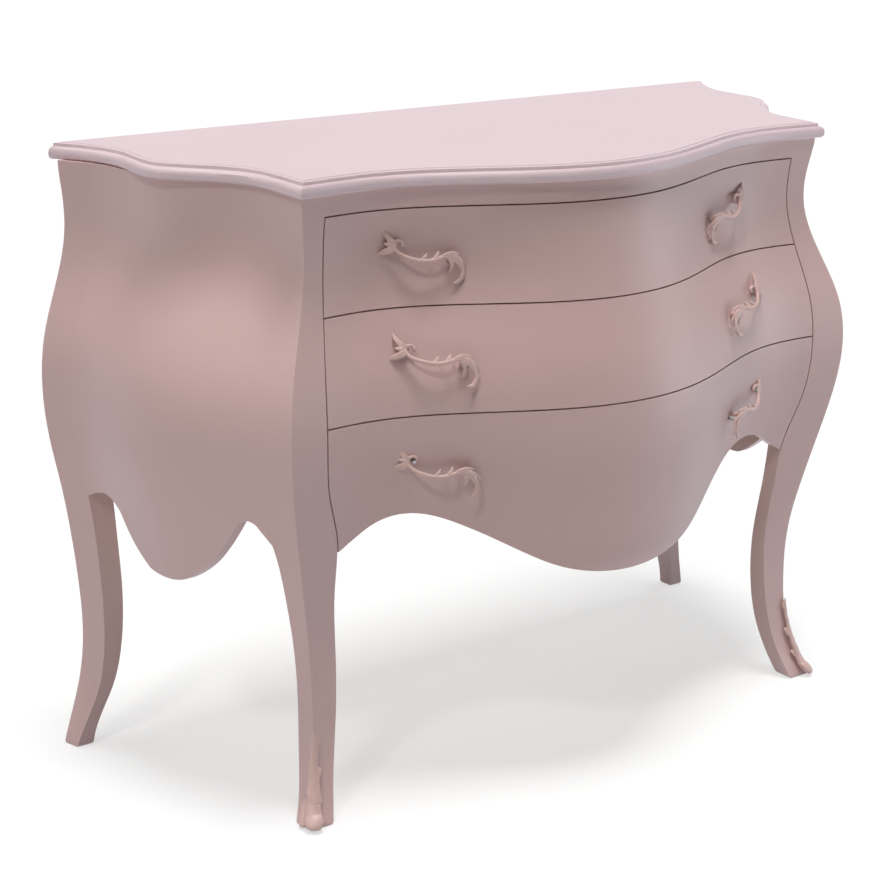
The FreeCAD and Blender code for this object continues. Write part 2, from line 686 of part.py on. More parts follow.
def handle_point(along, up, out):
    return Vector(size("handle_length") * along, size("handle_drop") * up, out)


def ring(centre, across, upward, radius, sides):
    """A regular polygon in the plane of two directions."""
    corners = []
    for step in range(sides + 1):
        angle = 2 * math.pi * (step % sides + 0.5) / sides
        spoke = across * math.cos(angle) + upward * math.sin(angle)
        corners.append(centre + spoke * radius)
    return Part.makePolygon(corners)


def plate(corners, thickness):
    """A flat casting from the outline of its underside."""
    return Part.Face(Part.makePolygon(corners + corners[:1])).extrude(Vector(0, 0, thickness))


def bar_outline(low):
    """Outline of the bar, down one of its edges and back along the other."""
    centres = [handle_point(along, up, low) for along, up, _ in bar_shares]
    edges = [[], []]
    for number, (centre, shares) in enumerate(zip(centres, bar_shares)):
        before = centres[max(number - 1, 0)]
        after = centres[min(number + 1, len(centres) - 1)]
        across = (after - before).cross(Vector(0, 0, 1)).normalize()
        reach = size("handle_bar_radius") * shares[2]
        edges[0].append(centre + across * reach)
        edges[1].append(centre - across * reach)
    return edges[0] + edges[1][::-1]


def spike(along, up, low, high, low_radius, high_radius):
    """A straight or tapering post square to the drawer front."""
    ends = [ring(handle_point(along, up, out), Vector(1, 0, 0), Vector(0, 1, 0), radius, boss_sides)
            for out, radius in ((low, low_radius), (high, high_radius))]
    return Part.makeLoft(ends, True, True)


def handle_cast():
    """One handle in its own frame: X outward along the drawer, Y up, Z off the front."""
    stand = size("handle_stand")
    bar_low = stand - size("handle_bar_radius")
    cast = plate(bar_outline(bar_low), measure("2 * handle_bar_radius"))
    leaf_low = stand * leaf_stand_share
    for outline in (outer_leaf_shares, inner_leaf_shares):
        corners = [handle_point(along, up, leaf_low) for along, up in outline]
        cast = cast.fuse(plate(corners, size("handle_leaf_thickness")))
    foot = stand * boss_sunk_share
    for along, up in boss_shares:
        cast = cast.fuse(spike(along, up, -foot, stand, size("handle_boss_radius"),
                               size("handle_bar_radius")))
    for along, up in boss_shares:
        cast = cast.cut(spike(along, up, -foot, measure("screw_bite + screw_clearance"),
                              measure(screw_hole), measure(screw_hole)))
    return cast


def front_forward(across, height):
    """Where the front of the form lies at a place given by X and Z."""
    probe = Part.makeLine(Vector(across, -far_forward, height), Vector(across, 0, height))
    return probe.common(outer_form.Shape).BoundBox.YMin


def front_point(across, height):
    return Vector(across, front_forward(across, height), height)


def handle_place(height):
    """Frame of a right handle: on the front at its eye, turned to lie along the front."""
    eye = size("handle_out")
    reach = size("handle_length") * abs(boss_shares[1][0])
    drop = size("handle_drop") * abs(boss_shares[1][1])
    outward = (front_point(eye, height) - front_point(eye - reach, height)).normalize()
    upward = (front_point(eye, height) - front_point(eye, height - drop)).normalize()
    off = outward.cross(upward).normalize()
    upward = off.cross(outward)
    return Placement(front_point(eye, height), Rotation(outward, upward, off))


handle_shape = handle_cast()


def add_handles(name, height, blank):
    """Bores a drawer front and seats its two handles on it."""
    place = handle_place(measure(height))
    screws = []
    holes = []
    for number, (along, up) in enumerate(boss_shares):
        foot = place.multiply(Placement(handle_point(along, up, 0), Rotation()))
        head_place = foot.multiply(Placement(Vector(0, 0, -size("screw_grip")), Rotation()))
        label = "%s_screw_%d" % (name, number)
        screws.append(add_screw(label, head_place, "screw_grip + screw_bite"))
        holes.append(add_rod(label + "_hole", head_place, screw_hole, -overrun,
                             "cut_overrun + screw_grip + screw_bite", screw_sides))
        holes.append(add_rod(label + "_recess", head_place, "spotface_radius", -overrun, "cut_overrun",
                             screw_sides))
    right_screws = add_group(name + "_screws_right", screws)
    right_holes = add_joined(name + "_holes_right", holes)
    left_screws = add_mirror(name + "_screws_left", right_screws)
    left_holes = add_mirror(name + "_holes_left", right_holes)
    all_holes = add_group(name + "_holes", [right_holes, left_holes])
    front = add_boolean("Cut", name + "_front", blank, all_holes)
    cast = add_shape(name + "_cast", handle_shape)
    cast.Placement = place
    right = add_boolean("Cut", name + "_handle_right", cast, blank)
    left = add_mirror(name + "_handle_left", right)
    group = add_group(name + "_handle_screws", [left_screws, right_screws])
    return [front, left, right, group]


def add_drawer_box(name, low, high):
    """Sides grooved for the bottom, a back that stands on the bottom, and the bottom."""
    inside = box_half_width + " - box_side_thickness"
    groove = inside + " + box_groove_depth"
    groove_low = low + " + box_groove_height"
    groove_high = groove_low + " + box_bottom_thickness + groove_clearance"
    body = doc.addObject("PartDesign::Body", name + "_side_stock")
    profile = add_profile(body, name + "_side_profile", [
        (inside, low),
        (box_half_width, low),
        (box_half_width, high),
        (inside, high),
        (inside, groove_high),
        (groove, groove_high),
        (groove, groove_low),
        (inside, groove_low),
    ], "box_back")
    body.Tip = add_pad(body, name + "_side_pad", profile, "box_back + top_belly_forward")
    right = add_boolean("Common", name + "_side_right", body, fronts_inside)
    left = add_mirror(name + "_side_left", right)
    bottom_edge = groove + " - groove_clearance"
    bottom_sheet = add_box(name + "_bottom_sheet",
                           ("0 - (%s)" % bottom_edge, "0 - top_belly_forward - top_back", groove_low),
                           ("2 * (%s)" % bottom_edge, "top_belly_forward + top_back + box_back",
                            "box_bottom_thickness"))
    bottom = add_boolean("Common", name + "_bottom", bottom_sheet, fronts_inside)
    back_low = groove_low + " + box_bottom_thickness"
    back = add_box(name + "_back",
                   ("0 - (%s)" % inside, "box_back - box_side_thickness", back_low),
                   ("2 * (%s)" % inside, "box_side_thickness",
                    high + " - (%s)" % back_low))
    return [left, right, back, bottom]


doc.recompute()
drawer_nodes = []
drawer_nodes += add_handles("top_drawer", frieze_underside + " - top_handle_fall", top_front_blank)
drawer_nodes += add_drawer_box("top_drawer", upper_seam + " + 0.5 * rail_thickness + run_clearance",
                               frieze_underside + " - kicker_clearance")
drawer_nodes += add_handles("middle_drawer", upper_seam + " - middle_handle_fall", middle_front_blank)
drawer_nodes += add_drawer_box("middle_drawer", lower_seam + " + 0.5 * rail_thickness + run_clearance",
                               upper_seam + " - 0.5 * rail_thickness - box_headroom")
drawer_nodes += add_handles("bottom_drawer", lower_seam + " - bottom_handle_fall", bottom_front_blank)
drawer_nodes += add_drawer_box("bottom_drawer", base_height + " + bottom_ledge_rise + run_clearance",
                               lower_seam + " - 0.5 * rail_thickness - box_headroom")

# Sabots: cast mounts over the corners of the front feet, with a wavy edge and a rolled toe.
# Share of the half width, from the leg's corner, then share of the height.

sabot_edge_shares = [(0, 1), (0.4, 0.92), (0.2, 0.83), (0.65, 0.73), (0.85, 0.64), (0.5, 0.52),
                     (0.8, 0.4), (1, 0.26), (0.75, 0.12), (0.7, 0.03)]
toe_share = 0.5
toe_sides = 12

sabot_form = add_form("sabot_form", size("sabot_thickness"))
foot_level = levels[0]
toe_level = levels[1]
outward = Vector(-1, -1, 0).normalize()
sabot_turn = Rotation(Vector(1, 0, 0), outward.negative())
edge = [Vector(0, size("sabot_half_width") * out, size("sabot_height") * up)
        for out, up in sabot_edge_shares]
other_edge = [Vector(0, -point.y, point.z) for point in reversed(edge[1:])]
sabot_outline = Part.makePolygon(edge + other_edge + edge[:1])
sabot_reach = size("post_depth")
sabot_cutter = Part.Face(sabot_outline).extrude(Vector(2 * sabot_reach, 0, 0))
ankle = Vector(-toe_level["front_half"], -toe_level["corner_forward"], 0)
sabot_cutter.Placement = Placement(ankle + outward * sabot_reach, sabot_turn)
sabot_space = add_shape("sabot_space", sabot_cutter)
sabot_crust = add_boolean("Cut", "sabot_crust", sabot_form, outer_form)
sabot_skin = add_boolean("Common", "sabot_skin", sabot_crust, sabot_space)
foot_corner = Vector(-foot_level["front_half"], -foot_level["corner_forward"], size("sabot_toe_height"))
toe_along = outward.cross(Vector(0, 0, 1))
toe = add_rod("sabot_toe", Placement(foot_corner, Rotation(Vector(0, 0, 1), toe_along)),
              "sabot_toe_radius", -size("sabot_toe_length") * toe_share, "sabot_toe_length", toe_sides)
sabot_cast = add_boolean("Fuse", "sabot_cast", sabot_skin, toe)
sabot_left = add_boolean("Cut", "sabot_left", sabot_cast, leg_front_left)
sabot_right = add_mirror("sabot_right", sabot_left)

leg_front_right = add_mirror("leg_front_right", leg_front_left)
leg_back_right = add_mirror("leg_back_right", leg_back_left)
side_panel_right = add_mirror("side_panel_right", side_panel_left)

# Check and write every sub-part

carcase_nodes = [
    top_board, leg_front_left, leg_front_right, leg_back_left, leg_back_right,
    side_panel_left, side_panel_right, front_top_rail, divider_upper, divider_lower,
    front_bottom_rail, back_panel, back_top_rail, back_rail_upper, back_rail_lower, bottom_board,
    runner_top_left, runner_top_right, runner_middle_left, runner_middle_right,
    runner_bottom_left, runner_bottom_right, kicker_left, kicker_right, sabot_left, sabot_right,
]
nodes = carcase_nodes + drawer_nodes

doc.recompute()
for item in doc.Objects:
    if "Invalid" in item.State or "Error" in item.State:
        raise RuntimeError("%s failed: %s" % (item.Label, item.getStatusString()))

os.makedirs("parts", exist_ok=True)
for node in nodes:
    if node.Shape.isNull() or not node.Shape.isValid():
        raise RuntimeError("%s is not a valid shape" % node.Label)
    node.Shape.exportStep("parts/%s.step" % node.Label)
    print(node.Label, len(node.Shape.Solids), "solids", round(node.Shape.Volume / 1000), "cm3")
print(len(nodes), "nodes")
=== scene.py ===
import json
import math

import bpy
from mathutils import Matrix, Vector


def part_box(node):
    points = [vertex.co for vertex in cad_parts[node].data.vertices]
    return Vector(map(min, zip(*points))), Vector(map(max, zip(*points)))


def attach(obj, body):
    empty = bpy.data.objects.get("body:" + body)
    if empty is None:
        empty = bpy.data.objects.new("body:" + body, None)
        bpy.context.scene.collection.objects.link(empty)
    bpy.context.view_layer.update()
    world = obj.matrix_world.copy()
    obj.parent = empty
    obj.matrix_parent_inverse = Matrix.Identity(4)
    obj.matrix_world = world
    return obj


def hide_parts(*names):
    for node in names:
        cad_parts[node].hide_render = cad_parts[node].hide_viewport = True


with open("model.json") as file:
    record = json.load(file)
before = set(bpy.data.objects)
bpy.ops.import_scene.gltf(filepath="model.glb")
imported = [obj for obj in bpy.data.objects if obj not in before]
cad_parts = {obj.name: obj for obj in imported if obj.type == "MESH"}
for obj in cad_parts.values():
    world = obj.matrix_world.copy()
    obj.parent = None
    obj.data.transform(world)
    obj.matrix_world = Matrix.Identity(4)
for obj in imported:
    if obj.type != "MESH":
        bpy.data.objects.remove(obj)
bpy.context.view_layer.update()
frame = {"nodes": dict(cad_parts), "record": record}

nodes = frame["nodes"]
bodyOf = {name: body for body, names in frame["record"]["behaviour"]["bodies"].items() for name in names}
slotOf = {row["node"]: row["material_slot"] for row in frame["record"]["subparts"]}
millimetre = 0.001
hair = 0.00001  # metres; places that differ by less are the same
print("frame loaded with", len(nodes), "nodes")


def deselectAll():
    if bpy.context.mode != "OBJECT":
        bpy.ops.object.mode_set(mode="OBJECT")
    bpy.ops.object.select_all(action="DESELECT")


def takeUp(piece):
    # the piece alone is selected and active
    deselectAll()
    piece.select_set(True)
    bpy.context.view_layer.objects.active = piece


def applyAll(piece):
    takeUp(piece)
    for modifier in list(piece.modifiers):
        bpy.ops.object.modifier_apply(modifier=modifier.name)


def srgb(red, green, blue):
    # a colour given on a scale to 255
    return tuple(((v / 255 + 0.055) / 1.055) ** 2.4 for v in (red, green, blue)) + (1,)


class Wire:
    # the value of one socket; a sum written with it adds Math nodes to its material

    def __init__(self, tree, socket):
        self.tree = tree
        self.socket = socket

    def maths(self, operation, first, second):
        node = self.tree.nodes.new("ShaderNodeMath")
        node.operation = operation
        for slot, value in zip(node.inputs, (first, second)):
            if isinstance(value, Wire):
                self.tree.links.new(value.socket, slot)
            else:
                slot.default_value = value
        return Wire(self.tree, node.outputs[0])

    def __add__(self, other):
        return self.maths("ADD", self, other)

    def __radd__(self, other):
        return self.maths("ADD", other, self)

    def __mul__(self, other):
        return self.maths("MULTIPLY", self, other)


class Finish:
    # one material and the nodes that it is made of

    def __init__(self, name):
        self.material = bpy.data.materials.new(name)
        self.material.use_nodes = True
        self.tree = self.material.node_tree
        self.tree.nodes.clear()

    def make(self, kind, settings=None, values=None, out=0):
        node = self.tree.nodes.new("ShaderNode" + kind)
        for key, value in (settings or {}).items():
            setattr(node, key, value)
        for key, value in (values or {}).items():
            if isinstance(value, Wire):
                self.tree.links.new(value.socket, node.inputs[key])
            else:
                node.inputs[key].default_value = value
        return Wire(self.tree, node.outputs[out]) if node.outputs else None

    def mix(self, factor, first, second):
        # sockets 6 and 7 of a Mix node are its two colours, and output 2 their mix
        return self.make("Mix", {"data_type": "RGBA"}, {0: factor, 6: first, 7: second}, 2)

    def finish(self, values):
        shader = self.make("BsdfPrincipled", None, values)
        self.make("OutputMaterial", None, {"Surface": shader})
        return self.material


paint = {
    # the top's colour is the body paint made lighter and cooler: painted sheen, standing in for the light
    # that falls on the top
    "top": srgb(215, 193, 198),
    "body": srgb(200, 169, 165),
    "casting": srgb(203, 171, 164),
    "roughness": 0.38,
    "roughSpread": 0.08,
    "mottle": 0.035,
    "markScale": 60.0,
    "cloudScale": 5.0,
    "grainScale": 900.0,
    "blend": (0.7, 0.3),
    "relief": 0.35,
    "brushHeight": 0.00006,
}


def satinPaint(name, colour, streak):
    # brushed satin paint: faint cloudiness, long soft brush marks and a little grain
    finish = Finish(name)
    place = finish.make("TexCoord", out=3)
    along = finish.make("Mapping", None, {"Vector": place, "Scale": streak})
    marks = finish.make("TexNoise", None,
                        {"Vector": along, "Scale": paint["markScale"], "Detail": 3.0, "Roughness": 0.6})
    cloud = finish.make("TexNoise", None, {"Vector": place, "Scale": paint["cloudScale"], "Detail": 3.0})
    grain = finish.make("TexNoise", None, {"Vector": place, "Scale": paint["grainScale"], "Detail": 2.0})
    deep = tuple(v * (1 - paint["mottle"] * 2) for v in colour[:3]) + (1,)
    pale = tuple(min(1, v * (1 + paint["mottle"])) for v in colour[:3]) + (1,)
    more, less = paint["blend"]
    tone = finish.mix(cloud * more + marks * less, deep, pale)
    height = marks * more + grain * less
    bump = finish.make("Bump", None,
                       {"Strength": paint["relief"], "Distance": paint["brushHeight"], "Height": height})
    rough = paint["roughness"] + marks * paint["roughSpread"]
    return finish.finish({"Base Color": tone, "Roughness": rough, "Normal": bump})


wood = {
    "early": srgb(214, 180, 136),
    "late": srgb(176, 130, 84),
    "base": 0.08, "ringTone": 0.3, "poreTone": 0.3,
    "wanderScale": 3.0, "wander": 0.12,
    "ringScale": 9.0, "poreScale": 260.0,
    "relief": 0.4, "poreDepth": 0.0002, "ringRelief": 0.3,
    "roughness": 0.62, "roughSpread": 0.12,
}


def bareWood(name, stretch):
    # plain sanded softwood: growth bands and pores run along the stretched axis
    finish = Finish(name)
    place = finish.make("TexCoord", out=3)
    along = finish.make("Mapping", None, {"Vector": place, "Scale": stretch})
    wander = finish.make("TexNoise", None,
                         {"Vector": along, "Scale": wood["wanderScale"], "Detail": 3.0}, 1)
    bent = finish.make("VectorMath", {"operation": "MULTIPLY_ADD"},
                       {0: wander, 1: (wood["wander"],) * 3, 2: along})
    rings = finish.make("TexWave", {"wave_type": "RINGS"},
                        {"Vector": bent, "Scale": wood["ringScale"], "Distortion": 1.5, "Detail": 2.0}, 1)
    pores = finish.make("TexNoise", None, {"Vector": along, "Scale": wood["poreScale"], "Detail": 2.0})
    late = wood["base"] + rings * wood["ringTone"] + pores * wood["poreTone"]
    tone = finish.mix(late, wood["early"], wood["late"])
    bump = finish.make("Bump", None, {"Strength": wood["relief"], "Distance": wood["poreDepth"],
                                      "Height": pores + rings * wood["ringRelief"]})
    rough = wood["roughness"] + pores * wood["roughSpread"]
    return finish.finish({"Base Color": tone, "Roughness": rough, "Normal": bump})


steel = {
    "dull": srgb(150, 150, 148),
    "bright": srgb(190, 190, 188),
    "speckScale": 800.0,
    "relief": 0.3, "speckHeight": 0.0001,
    "roughness": 0.3, "roughSpread": 0.2,
}


def plainSteel(name):
    finish = Finish(name)
    place = finish.make("TexCoord", out=3)
    speck = finish.make("TexNoise", None, {"Vector": place, "Scale": steel["speckScale"], "Detail": 3.0})
    tone = finish.mix(speck, steel["dull"], steel["bright"])
    bump = finish.make("Bump", None,
                       {"Strength": steel["relief"], "Distance": steel["speckHeight"], "Height": speck})
    rough = steel["roughness"] + speck * steel["roughSpread"]
    return finish.finish({"Base Color": tone, "Roughness": rough, "Normal": bump, "Metallic": 1.0})


finishes = {
    # the top's finish carries the lighter, cooler colour as painted sheen on the top
    "painted_top": satinPaint("satinPaintTopPaintedSheen", paint["top"], (0.12, 1.0, 1.0)),
    "painted_wood": satinPaint("satinPaintBody", paint["body"], (1.0, 1.0, 0.12)),
    "painted_casting": satinPaint("satinPaintCasting", paint["casting"], (1.0, 1.0, 1.0)),
    "bare_wood": bareWood("bareWoodAcross", (0.08, 1.0, 1.0)),
    "bare_wood_deep": bareWood("bareWoodDeep", (1.0, 0.08, 1.0)),
    "steel": plainSteel("screwSteel"),
}
frontFinish = satinPaint("satinPaintFront", paint["body"], (0.12, 1.0, 1.0))


def coat(piece, material):
    piece.data.materials.clear()
    piece.data.materials.append(material)


for name, node in nodes.items():
    # the grain of drawer sides, runners and kickers runs from front to back
    runsDeep = "drawer_side_" in name or "runner" in name or "kicker" in name
    coat(node, finishes["bare_wood_deep"] if runsDeep else finishes[slotOf[name]])
print("finishes made")


# painted nodes that are seen: the angle above which an edge stays sharp
dressed = {
    "top_board": 40,
    "leg_front_left": 30, "leg_front_right": 30, "leg_back_left": 30, "leg_back_right": 30,
    "side_panel_left": 30, "side_panel_right": 30, "front_top_rail": 30,
    "top_drawer_front": 30, "middle_drawer_front": 30, "bottom_drawer_front": 30,
}


def dress(name, angle):
    # a merged copy that shades smoothly stands for its node
    piece = bpy.data.objects.new("shown_" + name, nodes[name].data.copy())
    bpy.context.scene.collection.objects.link(piece)
    takeUp(piece)
    bpy.ops.object.mode_set(mode="EDIT")
    bpy.ops.mesh.select_all(action="SELECT")
    bpy.ops.mesh.customdata_custom_splitnormals_clear()
    bpy.ops.mesh.remove_doubles(threshold=hair)
    bpy.ops.object.mode_set(mode="OBJECT")
    bpy.ops.object.shade_smooth_by_angle(angle=math.radians(angle))
    facesFront = name.endswith("_front") or name == "front_top_rail"
    coat(piece, frontFinish if facesFront else finishes[slotOf[name]])
    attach(piece, bodyOf[name])
    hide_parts(name)
    return piece


sole = {"round": 0.0045, "cuts": (0.0004, 0.0012, 0.0024, 0.0045)}


def roundSole(leg):
    # cuts the foot into low rings and draws them in, lowest most, so that its sole has no sharp rim
    takeUp(leg)
    bpy.ops.object.mode_set(mode="EDIT")
    for height in sole["cuts"]:
        bpy.ops.mesh.select_all(action="SELECT")
        bpy.ops.mesh.bisect(plane_co=(0, 0, height), plane_no=(0, 0, 1))
    bpy.ops.object.mode_set(mode="OBJECT")
    foot = [vertex for vertex in leg.data.vertices if vertex.co.z < sole["round"] - hair]
    low = [min(vertex.co[axis] for vertex in foot) for axis in (0, 1)]
    high = [max(vertex.co[axis] for vertex in foot) for axis in (0, 1)]
    for vertex in foot:
        drop = sole["round"] - max(vertex.co.z, 0)
        inward = sole["round"] - math.sqrt(sole["round"] ** 2 - drop ** 2)
        for axis in (0, 1):
            centre, half = (low[axis] + high[axis]) / 2, (high[axis] - low[axis]) / 2
            vertex.co[axis] = centre + (vertex.co[axis] - centre) * (1 - inward / half)


# Round the raised field: each strip's width and rise, from the rim inwards
fieldEdge = {
    "band": (0.0024, 0.0002),
    "step": (0.0008, 0.0011),
    "level": 0.999,  # least upward share of the normal of a face that counts as the field
    "below": 0.0001,
}


def edgeField(top):
    # the narrow band and the small step that run round the raised field in the photo
    takeUp(top)
    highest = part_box("top_board")[1][2]
    bpy.ops.object.mode_set(mode="EDIT")
    bpy.ops.mesh.select_all(action="SELECT")
    bpy.ops.mesh.dissolve_limited(angle_limit=math.radians(0.1))
    bpy.ops.mesh.select_mode(type="FACE")
    bpy.ops.mesh.select_all(action="DESELECT")
    bpy.ops.object.mode_set(mode="OBJECT")
    for face in top.data.polygons:
        face.select = face.normal.z > fieldEdge["level"] and face.center.z > highest - fieldEdge["below"]
    bpy.ops.object.mode_set(mode="EDIT")
    strips = fieldEdge["band"], fieldEdge["step"]
    bpy.ops.transform.translate(value=(0, 0, -sum(rise for width, rise in strips)))
    for width, rise in strips:
        bpy.ops.mesh.inset(thickness=width, depth=rise)
    bpy.ops.object.mode_set(mode="OBJECT")
    bpy.ops.object.shade_smooth_by_angle(angle=math.radians(dressed["top_board"]))
    top.modifiers.new("flatField", "WEIGHTED_NORMAL").keep_sharp = True
    applyAll(top)


for name, angle in dressed.items():
    piece = dress(name, angle)
    if name.startswith("leg_"):
        roundSole(piece)
    elif name == "top_board":
        edgeField(piece)
print("painted pieces dressed")


def layPath(points):
    # a smooth curve in metres through given points in millimetres
    curve = bpy.data.curves.new("path", "CURVE")
    curve.dimensions = "3D"
    curve.twist_mode = "Z_UP"
    curve.resolution_u = 24
    spline = curve.splines.new("BEZIER")
    spline.bezier_points.add(len(points) - 1)
    for knot, point in zip(spline.bezier_points, points):
        knot.co = Vector(point) * millimetre
        knot.handle_left_type = knot.handle_right_type = "AUTO"
    path = bpy.data.objects.new("path", curve)
    bpy.context.scene.collection.objects.link(path)
    return path


def growLimb(points, girth, groove):
    # a tapering limb, extruded straight along X and then bent along its path;
    # girth gives, at shares of its length, half of its width and of its thickness
    path = layPath(points)
    length = path.data.splines[0].calc_length()
    deselectAll()
    bpy.ops.mesh.primitive_circle_add(vertices=8, radius=millimetre, fill_type="NGON",
                                      rotation=(0, math.pi / 2, 0))
    limb = bpy.context.object
    bpy.ops.object.transform_apply(location=False, rotation=True, scale=False)
    bpy.ops.object.mode_set(mode="EDIT")
    bpy.ops.mesh.select_all(action="SELECT")
    bpy.ops.transform.resize(value=(1, girth[0][1], girth[0][2]), center_override=(0, 0, 0))
    for before, after in zip(girth, girth[1:]):
        step = (after[0] - before[0]) * length
        bpy.ops.mesh.extrude_region_move(TRANSFORM_OT_translate={"value": (step, 0, 0)})
        bpy.ops.transform.resize(value=(1, after[1] / before[1], after[2] / before[2]),
                                 center_override=(after[0] * length, 0, 0))
    bpy.ops.mesh.select_all(action="SELECT")
    bpy.ops.mesh.normals_make_consistent(inside=False)
    bpy.ops.mesh.select_mode(type="VERT")
    bpy.ops.mesh.select_all(action="DESELECT")
    bpy.ops.object.mode_set(mode="OBJECT")
    for vertex in limb.data.vertices:
        vertex.select = abs(vertex.co.y) < hair and vertex.co.z > 0
    bpy.ops.object.mode_set(mode="EDIT")
    bpy.ops.transform.resize(value=(1, 1, 1 - groove), center_override=(0, 0, 0))
    bpy.ops.object.mode_set(mode="OBJECT")
    rounder = limb.modifiers.new("round", "SUBSURF")
    rounder.levels = rounder.render_levels = 2
    bend = limb.modifiers.new("bend", "CURVE")
    bend.object = path
    bend.deform_axis = "POS_X"
    applyAll(limb)
    bpy.data.objects.remove(path)
    return limb


def castTogether(limbs, name, grain, soften):
    # joins limbs into one casting with softened creases, as thick paint leaves them
    deselectAll()
    for limb in limbs:
        limb.select_set(True)
    bpy.context.view_layer.objects.active = limbs[0]
    bpy.ops.object.join()
    casting = bpy.context.object
    casting.name = name
    skin = casting.modifiers.new("skin", "REMESH")
    skin.mode = "VOXEL"
    skin.voxel_size = grain
    soft = casting.modifiers.new("soft", "SMOOTH")
    soft.factor = 0.5
    soft.iterations = soften
    applyAll(casting)
    bpy.ops.object.shade_smooth()
    return casting


# One pull in its own frame, in millimetres: outward along the drawer from its eye, up, off the front.
# Girth is, at shares of a limb's length, half of its width and half of its thickness.
pull = {
    "scroll": {"path": [(-4.6, -2.4, 6), (-5.6, 2.6, 6.5), (-1.4, 6.2, 7), (4, 5.4, 7.5), (6.4, 0.4, 8.5),
                        (4.2, -6, 10.5), (-2, -11.2, 13), (-11, -15.2, 15.5), (-23, -18.6, 17.5),
                        (-35, -19.8, 18), (-46, -18.6, 17.5), (-55, -16.2, 16), (-63, -15.6, 14)],
               "girth": [(0, 2.2, 2.2), (0.04, 3, 2.8), (0.1, 2.2, 2.3), (0.22, 2.3, 2.5),
                         (0.34, 2.7, 2.8), (0.5, 3.1, 3.1), (0.65, 3.2, 3.1), (0.78, 3, 2.9),
                         (0.9, 3.2, 2.8), (1, 2.4, 2.2)],
               "groove": 0.1},
    "upperLeaf": {"path": [(5, 2, 8), (10, 5.5, 9), (15, 11.5, 8), (18.6, 17, 6), (20.5, 24.5, 4)],
                  "girth": [(0, 3.2, 2.6), (0.2, 4.6, 2.8), (0.4, 4.4, 2.6), (0.5, 3.1, 2.4),
                            (0.64, 3.8, 2.2), (0.82, 2.6, 1.8), (0.94, 1.5, 1.3), (1, 0.7, 0.8)],
                  "groove": 0.5},
    "lowerLeaf": {"path": [(4, -1, 9), (11, -4, 10), (19, -7, 8), (27.5, -9.5, 4.5)],
                  "girth": [(0, 3.4, 2.8), (0.22, 5.6, 3.2), (0.45, 5.2, 3), (0.6, 4.4, 2.6),
                            (0.8, 4, 2.2), (0.93, 2.6, 1.6), (1, 1, 0.9)],
                  "groove": 0.35},
    "bud": {"path": [(8, 1.5, 10), (14, 2, 10), (21, 4.5, 6.5)],
            "girth": [(0, 2, 2), (0.35, 3.2, 2.3), (0.75, 2.3, 1.8), (1, 0.7, 0.8)], "groove": 0.3},
    "firstTip": {"path": [(-26, -18.5, 18), (-31.5, -15, 17.5), (-36, -9.5, 15)],
                 "girth": [(0, 1.8, 2), (0.4, 2.8, 2.1), (0.75, 2, 1.6), (1, 0.6, 0.7)], "groove": 0.3},
    "secondTip": {"path": [(-42, -18.6, 17.5), (-48, -14.5, 17), (-52.5, -7, 13.5)],
                  "girth": [(0, 2, 2.2), (0.4, 3.3, 2.3), (0.75, 2.3, 1.8), (1, 0.6, 0.7)], "groove": 0.3},
    "topBlade": {"path": [(-54, -16.4, 16), (-63, -13.4, 16), (-73, -12.2, 13.5), (-82.5, -13.8, 8.5)],
                 "girth": [(0, 2.6, 2.4), (0.25, 4.2, 2.6), (0.5, 4.6, 2.5), (0.72, 3.2, 2.1),
                           (0.9, 1.9, 1.6), (1, 0.7, 0.8)], "groove": 0.4},
    "sideBlade": {"path": [(-64, -16, 15), (-74, -17.5, 14), (-84, -22.5, 10), (-92, -30.5, 5)],
                  "girth": [(0, 2.8, 2.4), (0.3, 4.4, 2.6), (0.55, 4.2, 2.4), (0.78, 2.7, 2),
                            (0.93, 1.6, 1.4), (1, 0.7, 0.8)], "groove": 0.4},
    "curl": {"path": [(-60, -15.8, 15.5), (-71, -18, 14.5), (-80.5, -24.5, 12), (-86, -34.5, 10),
                      (-84.5, -44, 9.5), (-78, -50.5, 10), (-71.5, -50, 11.5)],
             "girth": [(0, 2.6, 2.4), (0.18, 4.8, 2.7), (0.38, 4.2, 2.6), (0.55, 3, 2.4),
                       (0.7, 3.4, 2.4), (0.85, 3.1, 2.3), (0.95, 2.6, 2.2), (1, 1.5, 1.5)],
             "groove": 0.4},
    "lowBlade": {"path": [(-84, -33, 10.5), (-88.5, -39.5, 8.5), (-91, -46.5, 5)],
                 "girth": [(0, 2, 2), (0.35, 3, 2.1), (0.75, 2, 1.6), (1, 0.6, 0.7)], "groove": 0.3},
    "innerBlade": {"path": [(-64, -16, 15), (-70, -23.5, 13), (-71.5, -31, 9), (-69, -37, 5.5)],
                   "girth": [(0, 2.4, 2.2), (0.35, 3.8, 2.4), (0.7, 2.7, 2), (0.9, 1.6, 1.4), (1, 0.7, 0.8)],
                   "groove": 0.4},
    "eyeFoot": {"path": [(9, -1, -7), (9, -1, 2), (9, -1, 8)],
                "girth": [(0, 4.6, 4.6), (0.6, 4.2, 4.2), (1, 4.8, 4.8)], "groove": 0},
    "leafFoot": {"path": [(-70, -20, -9), (-70, -20, 2), (-69, -18, 12)],
                 "girth": [(0, 4.6, 4.6), (0.6, 4, 4), (1, 3.6, 3.6)], "groove": 0},
}
pullGrain = 0.00055


def makePull():
    limbs = [growLimb(part["path"], part["girth"], part["groove"]) for part in pull.values()]
    return castTogether(limbs, "pull", pullGrain, 2)


pullPlaces = {
    "reach": 0.072, "drop": 0.024,
    "eyes": {"top_drawer": (0.304, 0.751), "middle_drawer": (0.311, 0.621),
             "bottom_drawer": (0.313, 0.479)},
}


def onFront(drawer, across, height):
    # where the drawer's front lies, looked at straight from the front
    front = bpy.data.objects["shown_" + drawer + "_front"]
    return front.ray_cast(Vector((across, -1, height)), Vector((0, 1, 0)))[1]


